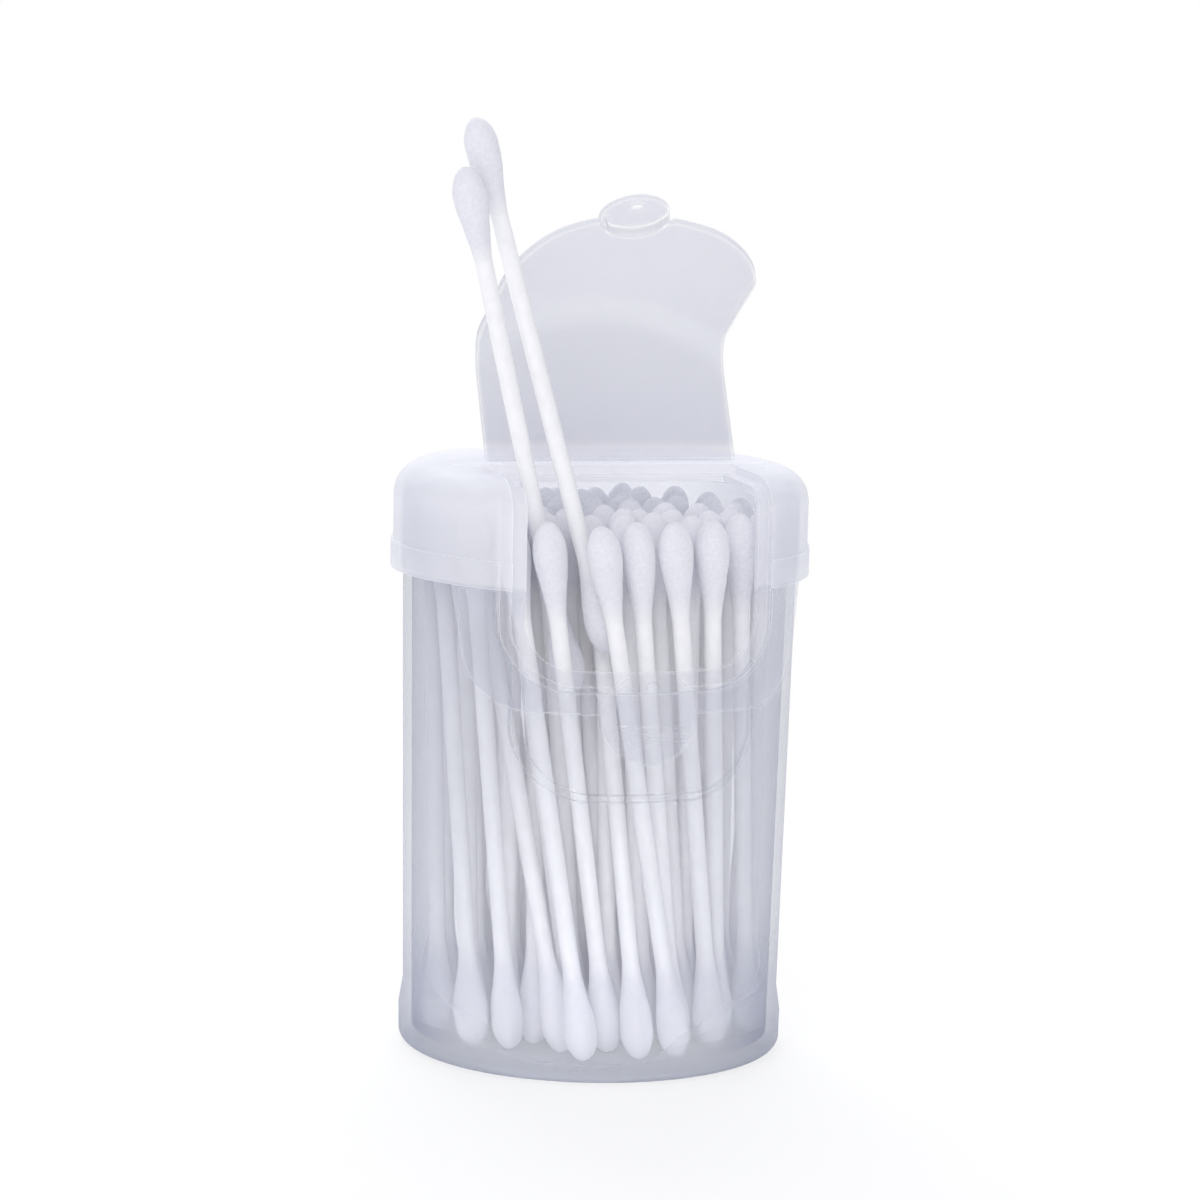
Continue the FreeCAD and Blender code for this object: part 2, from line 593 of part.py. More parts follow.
def make_bud():
    """A drop of wound cotton with a blind bore for the stick, its tip at the origin."""
    body = doc.addObject("PartDesign::Body", "bud")
    side = next(plane for plane in body.Origin.OriginFeatures if plane.Role == "XZ_Plane")
    sketch = body.newObject("Sketcher::SketchObject", "bud_profile")
    sketch.AttachmentSupport = [(side, "")]
    sketch.MapMode = "FlatFace"
    belly, high, neck, length, bore, recess = 2.4, 3.8, 1.35, 13.5, 1.15, 1.5
    tip_radius = (belly**2 + high**2) / (2 * belly)
    drop = belly - neck
    tail_radius = (drop**2 + (length - high) ** 2) / (2 * drop)
    up = Vector(0, 0, 1)
    tip_circle = Part.Circle(Vector(belly - tip_radius, high), up, tip_radius)
    tail_circle = Part.Circle(Vector(belly - tail_radius, high), up, tail_radius)
    tip_start = math.atan2(-high, tip_radius - belly)
    tail_end = math.atan2(length - high, neck - belly + tail_radius)
    sketch.addGeometry(
        [
            Part.ArcOfCircle(tip_circle, tip_start, 0.0),
            Part.ArcOfCircle(tail_circle, 0.0, tail_end),
            Part.LineSegment(Vector(neck, length), Vector(bore, length)),
            Part.LineSegment(Vector(bore, length), Vector(bore, recess)),
            Part.LineSegment(Vector(bore, recess), Vector(0, recess)),
            Part.LineSegment(Vector(0, recess), Vector(0, 0)),
        ]
    )
    for first, second in ((0, 1), (1, 2), (2, 3), (3, 4), (4, 5), (5, 0)):
        sketch.addConstraint(Sketcher.Constraint("Coincident", first, 2, second, 1))
    sketch.addConstraint(Sketcher.Constraint("Coincident", 0, 1, -1, 1))
    sketch.addConstraint(Sketcher.Constraint("Horizontal", 2))
    sketch.addConstraint(Sketcher.Constraint("Vertical", 3))
    sketch.addConstraint(Sketcher.Constraint("Horizontal", 4))
    sketch.addConstraint(Sketcher.Constraint("Vertical", 5))
    dimension(sketch, Sketcher.Constraint("DistanceX", -1, 1, 0, 2, belly), "bud_radius")
    dimension(sketch, Sketcher.Constraint("DistanceY", -1, 1, 0, 2, high), "belly_height")
    dimension(sketch, Sketcher.Constraint("DistanceY", -1, 1, 0, 3, high), "belly_height")
    dimension(sketch, Sketcher.Constraint("DistanceY", -1, 1, 1, 3, high), "belly_height")
    dimension(sketch, Sketcher.Constraint("DistanceX", -1, 1, 1, 2, neck), NECK_RADIUS)
    dimension(sketch, Sketcher.Constraint("DistanceY", -1, 1, 1, 2, length), "bud_length")
    dimension(sketch, Sketcher.Constraint("DistanceX", -1, 1, 3, 1, bore), "stick_radius")
    dimension(sketch, Sketcher.Constraint("DistanceY", -1, 1, 3, 2, recess), "stick_recess")
    turned = body.newObject("PartDesign::Revolution", "bud_turned")
    turned.Profile = sketch
    turned.ReferenceAxis = (sketch, ["V_Axis"])
    turned.Angle = 360
    return body


def bud_radius_at(distance):
    """Radius of a bud at a distance from its tip: the two arcs of its profile."""
    belly, high = size("bud_radius"), size("belly_height")
    if distance < high:
        arc = (belly**2 + high**2) / (2 * belly)
    else:
        drop = belly - size(NECK_RADIUS)
        arc = (drop**2 + (size("bud_length") - high) ** 2) / (2 * drop)
    return belly - arc + math.sqrt(max(arc**2 - (distance - high) ** 2, 0.0))


def swab_radius_at(distance):
    """Radius of a whole swab at a distance from its lower tip."""
    from_tip = min(distance, size("swab_length") - distance)
    if from_tip < 0:
        return 0.0
    if from_tip < size("bud_length"):
        return bud_radius_at(from_tip)
    return size("stick_radius")


# ---------------------------------------------------------------------------------------------
# Packing: swabs lean and cross as they do in a shaken box, and none runs into another
#
# In this section a place in plan is a complex number, x + y * 1j.  A swab is a list of two such
# places: where its lower tip stands and where its upper tip is.
# ---------------------------------------------------------------------------------------------
LEVELS = 22  # at which two swabs are compared, between their lower and their upper bellies
ROUNDS = 400  # of pushing apart, before a wider grid is tried
WIDER = 1.02  # each grid to the one before
SETTLED = 0.45  # largest share of the gap between two swabs that may still be lacking
SOFTNESS = 0.3  # share of an overlap that each of two swabs gives way in one round
WALL_SOFTNESS = 0.7
RAISED_GAPS = 3  # gaps between a standing swab and one that stands half out
PULLED_OUT = 0.7  # no swab stands nearer to the lower tip of such a swab, in pitches of the grid
NEIGHBOUR_REACH = 5.0  # swabs whose tips are further apart than this, plus two buds, never meet


class Cavity:
    """The room inside the container, and the widths of a swab, at a number of levels."""

    def __init__(self):
        self.slope = math.tan(math.radians(size("draft_angle")))
        self.floor = size("floor_thickness + floor_gap")
        self.front = size("front_radius - wall - swab_gap")
        self.back = size("back_distance - wall - swab_gap")
        self.corner = size("corner_radius - wall - swab_gap")
        self.pivot = complex(math.sqrt((self.front - self.corner) ** 2
                                       - (self.back - self.corner) ** 2), self.back - self.corner)
        self.dent_depth = size("dent_depth")
        self.dent_reach = size("dent_half_width + wall")
        self.dent_from, self.dent_to = size(f"{DENT_BOTTOM} - wall"), size(SEAT_BOTTOM)
        length, belly = size("swab_length"), size("belly_height")
        between = [belly + (length - 2 * belly) * step / LEVELS for step in range(LEVELS + 1)]
        self.levels = [
            (distance / length, self.floor + distance, swab_radius_at(distance))
            for distance in [belly / 2] + between + [length - belly / 2]
        ]

    def push_from_wall(self, place, radius, height):
        """How far, and which way, a round of some radius has to move to clear the walls."""
        grown = self.slope * height - radius
        front, back, corner = self.front + grown, self.back + grown, self.corner + grown
        beside_dent = self.dent_from < height < self.dent_to and place.imag < 0
        if beside_dent and abs(place.real) < self.dent_reach + radius:
            front -= self.dent_depth
        push = 0j
        if place.imag > back:
            push += (back - place.imag) * 1j
        if abs(place) > front:
            push += place / abs(place) * (front - abs(place))
        beyond = complex(abs(place.real), place.imag) - self.pivot
        in_corner = beyond.imag > 0 and place.imag * self.pivot.real > abs(place.real) * self.pivot.imag
        if in_corner and beyond.real > 0 and abs(beyond) > corner:
            inward = beyond / abs(beyond) * (max(corner, 0.0) - abs(beyond))
            push += complex(math.copysign(inward.real, -place.real), inward.imag)
        return push


def grid_of_places(cavity, pitch, taken):
    """The places of a hexagonal grid where a lower tip can stand on the floor, and none is taken."""
    turn = cmath.rect(1.0, math.radians(size("grid_turn")))
    reach = int(2 * cavity.front / pitch) + 1
    places = []
    for row in range(-reach, reach + 1):
        for column in range(-reach, reach + 1):
            place = turn * complex((column + row % 2 / 2) * pitch, row * pitch * math.sqrt(0.75))
            free = all(abs(place - other) > pitch * PULLED_OUT for other in taken)
            if free and not cavity.push_from_wall(place, size("bud_radius"), cavity.floor):
                places.append(place)
    return places


def near_pairs(swabs):
    """The pairs of swabs that can meet, at an end or crossing in the middle."""
    reach = 2 * size("bud_radius") + NEIGHBOUR_REACH
    pairs = []
    for one, (low, high) in enumerate(swabs):
        for other in range(one + 1, len(swabs)):
            below, above = swabs[other][0] - low, swabs[other][1] - high
            if min(abs(below), abs(above), abs(below + above) / 2) < reach:
                pairs.append((one, other))
    return pairs


def rise_of(swab):
    """How far the upper tip of a leaning swab is above its lower tip."""
    low, high = swab
    return math.sqrt(size("swab_length") ** 2 - abs(high - low) ** 2)


def settle(cavity, swabs, standing_out):
    """Pushes swabs apart, and off the walls and the swabs that stand out: whether all have room."""
    gap, length = size("swab_gap"), size("swab_length")
    for round_number in range(ROUNDS):
        if round_number % 10 == 0:
            pairs = near_pairs(swabs)
        worst = 0.0
        moves = [[0j, 0j] for _ in swabs]
        widened = [length / rise_of(swab) for swab in swabs]

        def give_way(swab, fraction, push):
            moves[swab][0] += push * (1 - fraction)
            moves[swab][1] += push * fraction

        for fraction, height, radius in cavity.levels:
            places = [low + (high - low) * fraction for low, high in swabs]
            for one, other in pairs:
                apart = places[other] - places[one]
                lack = radius * (widened[one] + widened[other]) + gap - abs(apart)
                if lack > 0:
                    worst = max(worst, lack)
                    push = apart / abs(apart) * lack * SOFTNESS
                    give_way(one, fraction, -push)
                    give_way(other, fraction, push)
            obstacles = [round_at(height) for round_at in standing_out]
            for swab, place in enumerate(places):
                for centre, width in obstacles:
                    lack = radius * widened[swab] + width + RAISED_GAPS * gap - abs(place - centre)
                    if width > 0 and lack > 0:
                        worst = max(worst, lack)
                        push = (place - centre) / abs(place - centre) * lack * 2 * SOFTNESS
                        give_way(swab, fraction, push)
                push = cavity.push_from_wall(place, radius * widened[swab], height)
                if push:
                    worst = max(worst, abs(push))
                    give_way(swab, fraction, push * WALL_SOFTNESS)
        for swab, (low_move, high_move) in zip(swabs, moves):
            swab[0] += low_move
            swab[1] += high_move
        if worst < SETTLED * gap:
            break
    print(f"{len(swabs)} swabs: {worst:.3f} mm short of room after {round_number + 1} rounds")
    return worst < SETTLED * gap


def standing_out_axis(which):
    """The lower tip and the direction of a swab that stands half out of the mouth."""
    left = math.radians(size(f"{which}_swab_left"))
    forward = math.radians(size(f"{which}_swab_forward"))
    depth = size(f"{which}_swab_depth")
    half_stick = size("stick_radius") / math.cos(left)
    at_lid = half_stick + size(f"{which}_swab_room - {MOUTH_HALF_WIDTH}")
    low = Vector(
        at_lid + depth * math.tan(left),
        size(f"{which}_swab_inset - front_radius"),
        size(BOX_HEIGHT) - depth,
    )
    return low, Vector(-math.tan(left), -math.tan(forward), 1).normalize()


def round_of(low, direction):
    """A function that gives place and radius of such a swab in the level cut at a height."""

    def at(height):
        distance = (height - low.z) / direction.z
        centre = low + direction * distance
        return complex(centre.x, centre.y), swab_radius_at(distance) / direction.z

    return at


def make_packing():
    """Placements of the standing swabs, each with its lower tip at the placement's origin."""
    random.seed(1)
    cavity = Cavity()
    axes = [standing_out_axis(which) for which in ("tall", "second")]
    standing_out = [round_of(*axis) for axis in axes]
    taken = [complex(low.x, low.y) for low, _ in axes]
    turn = cmath.rect(1.0, -math.radians(size("swab_twist")))
    pitch = size("2 * bud_radius + swab_spacing")
    settled = False
    while not settled:
        swabs = []
        for low in grid_of_places(cavity, pitch, taken):
            lean = complex(
                random.gauss(-size("lean_left"), size("lean_spread")),
                random.gauss(0.0, size("lean_spread")),
            )
            swabs.append([low, low * turn + lean])
        settled = settle(cavity, swabs, standing_out)
        pitch *= WIDER
    placements = []
    for low, high in swabs:
        lean = high - low
        direction = Vector(lean.real, lean.imag, rise_of((low, high)))
        placements.append(
            Placement(Vector(low.real, low.imag, cavity.floor), Rotation(Vector(0, 0, 1), direction))
        )
    return placements


# ---------------------------------------------------------------------------------------------
# Nodes of the swabs
# ---------------------------------------------------------------------------------------------
FRONT_COUNT = 13  # swabs along the round front, each with nodes of its own
ROW_COUNT = 7  # the rest, by rows from front to back


def placed_copies(name, shape, placements):
    """One object with a copy of a shape at each placement."""
    copies = []
    for placement in placements:
        copy = shape.copy()
        copy.Placement = placement.multiply(shape.Placement)
        copies.append(copy)
    node = doc.addObject("Part::Feature", name)
    node.Shape = copies[0] if len(copies) == 1 else Part.makeCompound(copies)
    return node


def swab_nodes(name, placements, stick, bud):
    """The sticks and the cotton of some swabs, as two nodes."""
    turned_over = Placement(Vector(0, 0, size("swab_length")), Rotation(Vector(1, 0, 0), 180))
    ends = placements + [placement.multiply(turned_over) for placement in placements]
    plural = "s" if len(placements) > 1 else ""
    return [
        placed_copies(f"{name}_stick{plural}", stick.Shape, placements),
        placed_copies(f"{name}_buds", bud.Shape, ends),
    ]


def make_swabs():
    """All swabs: two that stand out, the front row one by one, and the rows behind it."""
    stick, bud = make_stick(), make_bud()
    doc.recompute()
    nodes = []
    for which in ("tall", "second"):
        low, direction = standing_out_axis(which)
        place = Placement(low, Rotation(Vector(0, 0, 1), direction))
        nodes += swab_nodes(f"raised_swab_{which}", [place], stick, bud)

    placements = make_packing()
    placements.sort(key=lambda place: place.Base.y - math.hypot(place.Base.x, place.Base.y))
    front, behind = placements[:FRONT_COUNT], placements[FRONT_COUNT:]
    front.sort(key=lambda place: place.Base.x)
    behind.sort(key=lambda place: place.Base.y)
    for number, place in enumerate(front, start=1):
        nodes += swab_nodes(f"front_swab_{number:02d}", [place], stick, bud)
    for row in range(ROW_COUNT):
        first = len(behind) * row // ROW_COUNT
        last = len(behind) * (row + 1) // ROW_COUNT
        nodes += swab_nodes(f"swab_row_{row + 2}", behind[first:last], stick, bud)
    return nodes


# ---------------------------------------------------------------------------------------------
# Build, check and write
# ---------------------------------------------------------------------------------------------
lid_outer = rounded_block("lid_outer", "0")
lid_inner = rounded_block("lid_inner", "lid_wall")
nodes = [make_container(), make_lid(lid_outer, lid_inner), make_flap(lid_outer)]
doc.recompute()
nodes += make_swabs()
doc.recompute()

for item in doc.Objects:
    if "Invalid" in item.State or "Error" in item.State:
        raise RuntimeError(f"{item.Name} failed: {item.State}")
for node in nodes:
    if node.Shape.isNull() or not node.Shape.isValid() or not node.Shape.Solids:
        raise RuntimeError(f"{node.Label} has no valid solid")

os.makedirs("parts", exist_ok=True)
for node in nodes:
    node.Shape.exportStep(f"parts/{node.Label}.step")
    print(f"{node.Label}: {len(node.Shape.Solids)} solid(s), {node.Shape.Volume:.1f} mm3")
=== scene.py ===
"""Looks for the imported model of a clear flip-top box of cotton swabs.

The moulded pieces and the sticks keep their solids and get finishes.  Every cotton bud is replaced by
a wound bud with loose fibres on it.
"""

import math
import random

import bmesh
import bpy
from mathutils import Matrix, Vector


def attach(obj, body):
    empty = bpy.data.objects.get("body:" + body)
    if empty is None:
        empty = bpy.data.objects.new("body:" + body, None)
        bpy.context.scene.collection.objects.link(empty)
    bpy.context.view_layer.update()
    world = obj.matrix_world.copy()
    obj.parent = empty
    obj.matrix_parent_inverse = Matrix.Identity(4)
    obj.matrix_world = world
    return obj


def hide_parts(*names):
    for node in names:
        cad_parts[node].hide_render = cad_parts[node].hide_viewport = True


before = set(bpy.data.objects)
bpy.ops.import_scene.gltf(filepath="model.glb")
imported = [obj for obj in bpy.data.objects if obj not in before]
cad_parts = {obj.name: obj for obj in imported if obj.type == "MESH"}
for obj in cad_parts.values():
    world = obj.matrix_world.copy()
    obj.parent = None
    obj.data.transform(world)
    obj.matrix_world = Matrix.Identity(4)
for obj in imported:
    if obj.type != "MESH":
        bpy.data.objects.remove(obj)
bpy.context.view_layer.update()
scene = bpy.context.scene
MM = 0.001


# ---------------------------------------------------------------------------------------------
# Finishes
# ---------------------------------------------------------------------------------------------
class Socket:
    """An output of a shader node; arithmetic on it adds Math nodes."""

    def __init__(self, finish, output):
        self.finish = finish
        self.output = output

    def maths(self, operation, *others, clamp=False):
        sockets = dict(enumerate((self, *others)))
        return self.finish.add("Math", {"operation": operation, "use_clamp": clamp}, sockets)

    def __add__(self, other):
        return self.maths("ADD", other)

    def __mul__(self, other):
        return self.maths("MULTIPLY", other)

    def __sub__(self, other):
        return self.maths("SUBTRACT", other)

    def __rsub__(self, other):
        return self * -1.0 + other

    __radd__ = __add__
    __rmul__ = __mul__

    def between(self, low, high):
        """0 at the low value, 1 at the high one, smooth between them."""
        sockets = {"Value": self, "From Min": low, "From Max": high}
        return self.finish.add("MapRange", {"interpolation_type": "SMOOTHSTEP"}, sockets)


class Finish:
    """A material that is put together node by node."""

    def __init__(self, name):
        self.material = bpy.data.materials.new(name)
        self.material.use_nodes = True
        self.tree = self.material.node_tree
        self.tree.nodes.clear()

    def add(self, kind, settings=None, sockets=None, output=0):
        """Adds a node with its settings and the values or links of its sockets."""
        node = self.tree.nodes.new(f"ShaderNode{kind}")
        for name, value in (settings or {}).items():
            setattr(node, name, value)
        for name, value in (sockets or {}).items():
            self.join(value, node.inputs[name])
        return None if output is None else Socket(self, node.outputs[output])

    def place(self):
        """The object's own coordinates, in metres."""
        return self.add("TexCoord", output="Object")

    def stretched(self, place, scale, turn=(0.0, 0.0, 0.0)):
        return self.add("Mapping", sockets={"Vector": place, "Scale": scale, "Rotation": turn})

    def noise(self, place, scale, detail=2.0, roughness=0.5):
        sockets = {"Vector": place, "Scale": scale, "Detail": detail, "Roughness": roughness}
        return self.add("TexNoise", sockets=sockets, output="Fac")

    def blend(self, factor, first, second):
        """A mix of two colours, each a socket or (r, g, b)."""
        mix = self.tree.nodes.new("ShaderNodeMix")
        mix.data_type = "RGBA"
        coloured = {socket.name: socket for socket in mix.inputs if socket.type == "RGBA"}
        self.join(factor, mix.inputs[0])
        self.join(first, coloured["A"])
        self.join(second, coloured["B"])
        return Socket(self, next(socket for socket in mix.outputs if socket.type == "RGBA"))

    def join(self, value, target):
        """Links a socket to an input, or gives the input a number, a vector or a colour."""
        if isinstance(value, Socket):
            self.tree.links.new(value.output, target)
        elif target.type == "RGBA":
            target.default_value = (*value[:3], 1.0)
        else:
            target.default_value = value

    def bump(self, height, strength, distance):
        sockets = {"Height": height, "Strength": strength, "Distance": distance}
        return self.add("Bump", sockets=sockets, output="Normal")

    def edges(self, reach):
        """1 along the edges of the piece, where a rounded normal leaves the real one, 0 elsewhere."""
        rounded = self.add("Bevel", {"samples": 10}, {"Radius": reach})
        straight = self.add("NewGeometry", output="Normal")
        alike = self.add("VectorMath", {"operation": "DOT_PRODUCT"}, {0: rounded, 1: straight},
                         output="Value")
        return (1.0 - alike).between(0.02, 0.24)

    def principled(self, **values):
        """A Principled BSDF: its sockets by name, with _ for a space."""
        sockets = {name.replace("_", " "): value for name, value in values.items()}
        return self.add("BsdfPrincipled", sockets=sockets)

    def layered(self, share, under, over):
        """The shader over covers a share of the shader under."""
        return self.add("MixShader", sockets={0: share, 1: under, 2: over})

    def surface(self, shader):
        """Ends the material."""
        self.add("OutputMaterial", sockets={"Surface": shader}, output=None)
        return self.material


CLOUDS = 0.08  # how much the veil of the plastic varies from place to place


def frosted_plastic(name, looks, slant_veil, deep, edge_reach, rim_highlight, edge_veil, through, glow):
    """Thin translucent plastic: a milky veil that light from behind comes through.

    looks: (height in millimetres, veil, colour), each turning into the next between their heights
    slant_veil, deep: what a wall that is seen aslant has more of the veil, and its colour there
    edge_reach, rim_highlight, edge_veil: width of the edges, the near-white highlight painted along
    them, and what they have more of the veil
    through: colour of the light that comes through the veil
    glow: share of the veil that lets light through
    """
    finish = Finish(name)
    place = finish.place()
    height = finish.add("SeparateXYZ", sockets={"Vector": place}, output="Z")
    _, veil, body = looks[0]
    for (below, first_veil, _), (above, next_veil, next_body) in zip(looks, looks[1:]):
        level = height.between(below * MM, above * MM)
        veil = level * (next_veil - first_veil) + veil
        body = finish.blend(level, body, next_body)
    edge = finish.edges(edge_reach)
    clouds = finish.noise(place, 70.0, 3.0, 0.55)
    grain = finish.noise(place, 2600.0, 2.0)
    slant = finish.add("LayerWeight", sockets={"Blend": 0.35}, output="Facing")
    density = veil + slant * slant_veil + edge * edge_veil + clouds * CLOUDS - CLOUDS / 2
    body = finish.blend(slant.between(0.12, 0.55), body, deep)
    # the colour turns near-white along the edges: a painted highlight where rounded edges would catch
    # the light
    skin = finish.principled(
        Base_Color=finish.blend(edge, body, rim_highlight),
        Roughness=grain * 0.12 + 0.4,
        Specular_IOR_Level=0.2,
        Normal=finish.bump(grain, 0.08, 0.05 * MM),
    )
    milk = finish.layered(glow, skin, finish.add("BsdfTranslucent", sockets={"Color": through}))
    clear = finish.add("BsdfTransparent")
    return finish.surface(finish.layered(density.maths("ADD", 0.0, clamp=True), clear, milk))


def wound_cotton():
    """Cotton wool wound on slantwise: bright, matt and finely fibrous, thinning out on the paper."""
    finish = Finish("wound_cotton")
    place = finish.place()
    around = finish.add("UVMap", {"uv_map": "winding"}, output="UV")
    along = finish.add("SeparateXYZ", sockets={"Vector": around}, output="Y")
    slanted = finish.stretched(around, (1.0, 1.0, 1.0), (0.0, 0.0, 0.5))
    fibres = finish.noise(finish.stretched(slanted, (30.0, 160.0, 1.0)), 1.0, 4.0, 0.6)
    wisps = finish.noise(place, 1900.0, 4.0, 0.6)
    lumps = finish.noise(place, 420.0, 2.0)
    shade = (fibres * 0.4 + wisps * 0.6).between(0.3, 0.7)
    wool = finish.blend(shade, (0.77, 0.77, 0.81), (0.855, 0.855, 0.89))
    colour = finish.blend(along.between(0.7, 0.98), wool, (0.915, 0.91, 0.915))
    height = fibres * 0.5 + wisps * 0.6 + lumps * 0.4
    return finish.surface(finish.principled(
        Base_Color=colour,
        Roughness=0.95,
        Specular_IOR_Level=0.15,
        Sheen_Weight=0.25,
        Sheen_Roughness=0.6,
        Normal=finish.bump(height, 0.5, 0.22 * MM),
    ))


def rolled_paper():
    """The stick: smooth white paper with fine streaks, a little warmer than the cotton."""
    finish = Finish("rolled_paper")
    place = finish.place()
    streaks = finish.noise(finish.stretched(place, (900.0, 900.0, 500.0)), 1.0, 3.0)
    patches = finish.noise(place, 150.0, 2.0)
    shade = (streaks * 0.7 + patches * 0.3).between(0.3, 0.62)
    colour = finish.blend(shade, (0.885, 0.88, 0.88), (0.93, 0.927, 0.93))
    return finish.surface(finish.principled(
        Base_Color=colour,
        Roughness=streaks * 0.2 + 0.42,
        Normal=finish.bump(streaks, 0.12, 0.06 * MM),
    ))


# ---------------------------------------------------------------------------------------------
# Swabs
# ---------------------------------------------------------------------------------------------
STICK_RECESS = 1.5 * MM  # tip of the cotton to the end of the stick inside it
BUD_SEGMENTS = 14
# distance from the tip and radius, in millimetres
BUD_RINGS = [
    (0.16, 0.62),
    (0.62, 1.27),
    (1.45, 1.83),
    (2.6, 2.22),
    (3.9, 2.36),
    (5.3, 2.3),
    (7.0, 2.08),
    (8.8, 1.79),
    (10.6, 1.5),
    (12.2, 1.3),
    (13.4, 1.2),
    (13.9, 1.155),
]
BUD_LENGTH = 14.0 * MM
SMOOTH_FROM = 7.0 * MM  # beyond this the cotton is drawn tight on the stick
LUMP_WIDTH = 2.6 * MM
LUMP_HEIGHT = 0.3 * MM
LUMP_PLACES = 9 * MM  # from one bud's place in the lumps to the next bud's
FIBRES = 220
FIBRE_WIDTH = 0.035 * MM
FIBRE_ROOT = 0.05 * MM  # how deep a loose fibre starts in the cotton
FIBRES_END = 11.0 * MM  # beyond this no loose fibre leaves the cotton
CAP_DEPTH = 0.05 * MM  # all of a stick's corners this near its end belong to the end
PATTERNS = 5  # different buds, which the swabs take by chance


def deselect():
    bpy.ops.object.select_all(action="DESELECT")


def select_only(piece):
    deselect()
    piece.select_set(True)
    bpy.context.view_layer.objects.active = piece


def make_bud(name, seed):
    """One bud with its tip at the origin, along +Z: rings drawn out of a small disc."""
    chance = random.Random(seed)
    deselect()
    height, radius = BUD_RINGS[0]
    bpy.ops.mesh.primitive_circle_add(vertices=BUD_SEGMENTS, radius=radius * MM, fill_type="TRIFAN",
                                      location=(0, 0, height * MM))
    bud = bpy.context.object
    bud.name = name
    bpy.ops.object.transform_apply(location=True, rotation=True, scale=True)
    bpy.ops.object.mode_set(mode="EDIT")
    bpy.ops.mesh.select_mode(type="VERT")
    bpy.ops.mesh.select_all(action="DESELECT")
    shape = bmesh.from_edit_mesh(bud.data)
    tip = min(shape.verts, key=lambda vertex: vertex.co.xy.length)
    tip.co.z = 0.0
    for vertex in shape.verts:
        vertex.select = vertex is not tip
    shape.select_flush(True)
    for edge in shape.edges:
        edge.select = all(vertex is not tip for vertex in edge.verts)
    bmesh.update_edit_mesh(bud.data)
    bpy.ops.mesh.select_mode(type="EDGE")
    for ring, wider in zip(BUD_RINGS, BUD_RINGS[1:]):
        rise = (wider[0] - ring[0]) * MM
        bpy.ops.mesh.extrude_region_move(TRANSFORM_OT_translate={"value": (0, 0, rise)})
        grow = wider[1] / ring[1]
        bpy.ops.transform.resize(value=(grow, grow, 1), center_override=(0, 0, wider[0] * MM))
    bpy.ops.object.mode_set(mode="OBJECT")
    lumps = bpy.data.textures.new(f"{name}_lumps", "CLOUDS")
    lumps.noise_scale = LUMP_WIDTH
    select_only(bud)
    smooth = bud.modifiers.new("rounder", "SUBSURF")
    smooth.levels = smooth.render_levels = 1
    bpy.ops.object.modifier_apply(modifier="rounder")
    loose = bud.vertex_groups.new(name="loose")
    for vertex in bud.data.vertices:
        tight = max(0.0, vertex.co.z - SMOOTH_FROM) / (BUD_RINGS[-1][0] * MM - SMOOTH_FROM)
        loose.add([vertex.index], (1.0 - tight) ** 2, "REPLACE")
    uneven = bud.modifiers.new("uneven", "DISPLACE")
    uneven.texture = lumps
    uneven.texture_coords = "LOCAL"
    uneven.vertex_group = "loose"
    uneven.strength = LUMP_HEIGHT
    uneven.mid_level = 0.62
    bud.data.transform(Matrix.Translation((seed * LUMP_PLACES, 0, 0)))
    bpy.ops.object.modifier_apply(modifier="uneven")
    bud.data.transform(Matrix.Translation((-seed * LUMP_PLACES, 0, 0)))
    bpy.ops.object.shade_smooth()
    wind(bud)
    add_fibres(bud, chance)
    return bud


def wind(bud):
    """A UV map: once round the bud and along it from its tip, both from 0 to 1."""
    winding = bud.data.uv_layers.new(name="winding")
    for face in bud.data.polygons:
        middle = math.atan2(face.center.y, face.center.x)
        for corner in face.loop_indices:
            point = bud.data.vertices[bud.data.loops[corner].vertex_index].co
            angle = math.atan2(point.y, point.x)
            angle += 2 * math.pi * round((middle - angle) / (2 * math.pi))
            winding.data[corner].uv = (angle / (2 * math.pi), point.z / BUD_LENGTH)


def add_fibres(bud, chance):
    """Loose fibre ends: thin slivers that leave the cotton aslant and curl back."""
    shape = bmesh.new()
    shape.from_mesh(bud.data)
    shape.faces.ensure_lookup_table()
    faces = [face for face in shape.faces if face.calc_center_median().z < FIBRES_END]
    winding = shape.loops.layers.uv["winding"]
    for _ in range(FIBRES):
        face = chance.choice(faces)
        start = face.calc_center_median() - face.normal * FIBRE_ROOT
        out = face.normal
        side = out.cross(Vector((0, 0, 1))).normalized()
        lean = side * chance.uniform(-1.4, 1.4) + Vector((0, 0, chance.uniform(-0.9, 0.9)))
        reach = chance.uniform(0.22, 0.55) * MM
        middle = start + (out * 0.8 + lean * 0.35).normalized() * reach * 0.6
        end = middle + (out * 0.25 + lean).normalized() * reach * 0.7
        width = side.cross(out).normalized() * FIBRE_WIDTH / 2
        corners = [start - width, start + width, middle + width * 0.8, middle - width * 0.8]
        root = [shape.verts.new(point) for point in corners]
        tip = shape.verts.new(end)
        for sliver in (shape.faces.new(root), shape.faces.new((root[3], root[2], tip))):
            for loop in sliver.loops:
                loop[winding].uv = face.loops[0][winding].uv
    shape.to_mesh(bud.data)
    shape.free()


